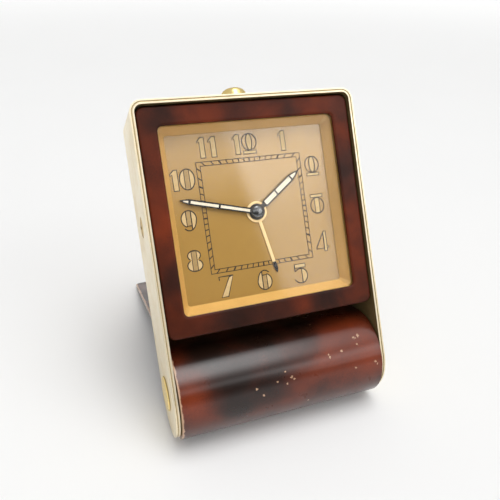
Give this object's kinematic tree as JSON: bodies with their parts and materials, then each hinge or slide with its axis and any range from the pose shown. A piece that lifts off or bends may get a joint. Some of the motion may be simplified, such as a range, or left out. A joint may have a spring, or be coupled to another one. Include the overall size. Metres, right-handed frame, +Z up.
{
  "type": "travel alarm clock",
  "caption": "Folding travel alarm clock: brass frame, square dial in a tortoise lacquer bezel, propped open on a cover whose roll is the hinge.",
  "frame": {"origin": "middle of the bounding box on the table's surface, with the clock standing open on its cover", "axes": "+Z up, -Y the way the dial looks, +X to the right as seen from the front; the dial leans back"},
  "size_m": [0.0646, 0.09, 0.0878],
  "materials": {
    "gilt_brass": "satin gilt",
    "brass": "polished",
    "steel": "polished",
    "tortoise_lacquer": "gloss mottled lacquer",
    "champagne_dial": "satin with printed figures",
    "black_lacquer": "gloss",
    "glass": "clear"
  },
  "bodies": {
    "clock": {"outer_frame": "gilt_brass", "hinge_rivet_left": "brass", "hinge_rivet_right": "brass", "inner_case": "gilt_brass", "case_screw_left": "brass", "case_screw_right": "brass", "bezel": "tortoise_lacquer", "crystal": "glass", "dial_flange": "gilt_brass", "dial": "champagne_dial", "front_plate": "brass", "back_plate": "brass", "pillar_1": "brass", "pillar_2": "brass", "pillar_3": "brass", "pillar_4": "brass", "balance_cock": "brass", "cock_screw": "steel", "back_cover": "gilt_brass", "back_screw_1": "brass", "back_screw_2": "brass", "back_screw_3": "brass", "back_screw_4": "brass", "sounding_post": "steel", "button_spring": "steel"},
    "cover": {"cover": "tortoise_lacquer", "cover_end_left": "brass", "cover_end_right": "brass"},
    "minute": {"minute_hand": "black_lacquer", "cannon_pinion": "steel", "hand_cap": "black_lacquer"},
    "hour": {"hour_hand": "black_lacquer", "hour_wheel": "brass"},
    "alarm": {"alarm_hand": "brass", "alarm_wheel": "brass"},
    "hand_setting": {"minute_wheel": "brass", "hand_set_knob": "brass"},
    "alarm_setting": {"alarm_set_arbor": "steel", "alarm_set_knob": "brass"},
    "winding": {"winding_key": "brass", "barrel_arbor": "steel"},
    "alarm_winding": {"alarm_key": "brass", "alarm_barrel_arbor": "steel"},
    "barrel": {"going_barrel": "brass", "going_barrel_mainspring": "steel"},
    "alarm_drum": {"alarm_barrel": "brass", "alarm_barrel_mainspring": "steel"},
    "centre": {"centre_wheel": "brass"},
    "third": {"third_wheel": "brass"},
    "fourth": {"fourth_wheel": "brass"},
    "escape": {"escape_wheel": "brass"},
    "pallet": {"pallet_lever": "steel"},
    "balance": {"balance_wheel": "brass", "hairspring": "steel"},
    "pawl": {"click": "steel"},
    "alarm_pawl": {"alarm_click": "steel"},
    "strike": {"strike_wheel": "brass"},
    "hammer": {"alarm_hammer": "steel"},
    "button": {"stop_button": "brass"}
  },
  "joints": [
    {"name": "cover_hinge", "type": "hinge", "parent": "clock", "child": "cover", "pos_m": [0, -0.03212, 0.0129], "axis": [-1, 0, 0], "range_deg": [0, 279.61]},
    {"name": "minute_turn", "type": "hinge", "parent": "clock", "child": "minute", "pos_m": [0, -0.01015, 0.05422], "axis": [0, 0.8829, -0.4695], "continuous": true},
    {"name": "hour_turn", "type": "hinge", "parent": "clock", "child": "hour", "pos_m": [0, -0.01015, 0.05422], "axis": [0, 0.8829, -0.4695], "continuous": true},
    {"name": "hand_setting_turn", "type": "hinge", "parent": "clock", "child": "hand_setting", "pos_m": [0, -0.01353, 0.04786], "axis": [0, 0.8829, -0.4695], "continuous": true},
    {"name": "alarm_turn", "type": "hinge", "parent": "clock", "child": "alarm", "pos_m": [0, -0.01015, 0.05422], "axis": [0, 0.8829, -0.4695], "continuous": true},
    {"name": "alarm_setting_turn", "type": "hinge", "parent": "clock", "child": "alarm_setting", "pos_m": [0.00777, -0.01015, 0.05422], "axis": [0, 0.8829, -0.4695], "continuous": true},
    {"name": "third_turn", "type": "hinge", "parent": "clock", "child": "third", "pos_m": [0.00337, -0.0074, 0.05938], "axis": [0, 0.8829, -0.4695], "continuous": true},
    {"name": "centre_turn", "type": "hinge", "parent": "clock", "child": "centre", "pos_m": [0, -0.01015, 0.05422], "axis": [0, 0.8829, -0.4695], "continuous": true},
    {"name": "barrel_turn", "type": "hinge", "parent": "clock", "child": "barrel", "pos_m": [-0.0121, -0.01222, 0.05033], "axis": [0, 0.8829, -0.4695], "continuous": true},
    {"name": "fourth_turn", "type": "hinge", "parent": "clock", "child": "fourth", "pos_m": [0.00099, -0.00463, 0.0646], "axis": [0, 0.8829, -0.4695], "continuous": true},
    {"name": "escape_turn", "type": "hinge", "parent": "clock", "child": "escape", "pos_m": [-0.00475, -0.00391, 0.06596], "axis": [0, 0.8829, -0.4695], "continuous": true},
    {"name": "alarm_drum_turn", "type": "hinge", "parent": "clock", "child": "alarm_drum", "pos_m": [0.0135, -0.01461, 0.04583], "axis": [0, 0.8829, -0.4695], "continuous": true},
    {"name": "strike_turn", "type": "hinge", "parent": "clock", "child": "strike", "pos_m": [0.01632, -0.01027, 0.05399], "axis": [0, 0.8829, -0.4695], "continuous": true},
    {"name": "winding_turn", "type": "hinge", "parent": "clock", "child": "winding", "pos_m": [-0.0121, -0.01222, 0.05033], "axis": [0, 0.8829, -0.4695], "continuous": true},
    {"name": "alarm_winding_turn", "type": "hinge", "parent": "clock", "child": "alarm_winding", "pos_m": [0.0135, -0.01461, 0.04583], "axis": [0, 0.8829, -0.4695], "continuous": true},
    {"name": "pallet_rock", "type": "hinge", "parent": "clock", "child": "pallet", "pos_m": [-0.00845, -0.00397, 0.06585], "axis": [0, 0.8829, -0.4695], "range_deg": [-5, 5]},
    {"name": "balance_swing", "type": "hinge", "parent": "clock", "child": "balance", "pos_m": [-0.01494, -0.00407, 0.06565], "axis": [0, 0.8829, -0.4695], "range_deg": [-220, 220], "stiffness_Nm_per_rad": 0.0000016, "deforming": ["hairspring"]},
    {"name": "hammer_swing", "type": "hinge", "parent": "clock", "child": "hammer", "pos_m": [0.01693, -0.00704, 0.06006], "axis": [0, 0.8829, -0.4695], "range_deg": [0, 5]},
    {"name": "pawl_lift", "type": "hinge", "parent": "clock", "child": "pawl", "pos_m": [-0.01005, -0.01486, 0.04535], "axis": [0, -0.8829, 0.4695], "range_deg": [0, 10], "stiffness_Nm_per_rad": 0.00002, "springref_deg": -17.19},
    {"name": "alarm_pawl_lift", "type": "hinge", "parent": "clock", "child": "alarm_pawl", "pos_m": [0.01145, -0.01725, 0.04086], "axis": [0, 0.8829, -0.4695], "range_deg": [0, 10], "stiffness_Nm_per_rad": 0.00002, "springref_deg": -17.19},
    {"name": "button_press", "type": "slide", "parent": "clock", "child": "button", "axis": [0, -0.4695, -0.8829], "range_m": [0, 0.0015], "stiffness_N_per_m": 120, "deforming": ["button_spring"]}
  ],
  "couplings": [
    {"joint": "hand_setting_turn", "follows": "minute_turn", "ratio": -0.33333},
    {"joint": "hour_turn", "follows": "minute_turn", "ratio": 0.083333},
    {"joint": "alarm_setting_turn", "follows": "alarm_turn", "ratio": -3.2},
    {"joint": "centre_turn", "follows": "third_turn", "ratio": -0.125},
    {"joint": "barrel_turn", "follows": "third_turn", "ratio": 0.020833},
    {"joint": "fourth_turn", "follows": "third_turn", "ratio": -7.5},
    {"joint": "escape_turn", "follows": "third_turn", "ratio": 60},
    {"joint": "strike_turn", "follows": "alarm_drum_turn", "ratio": -6.6667}
  ]
}
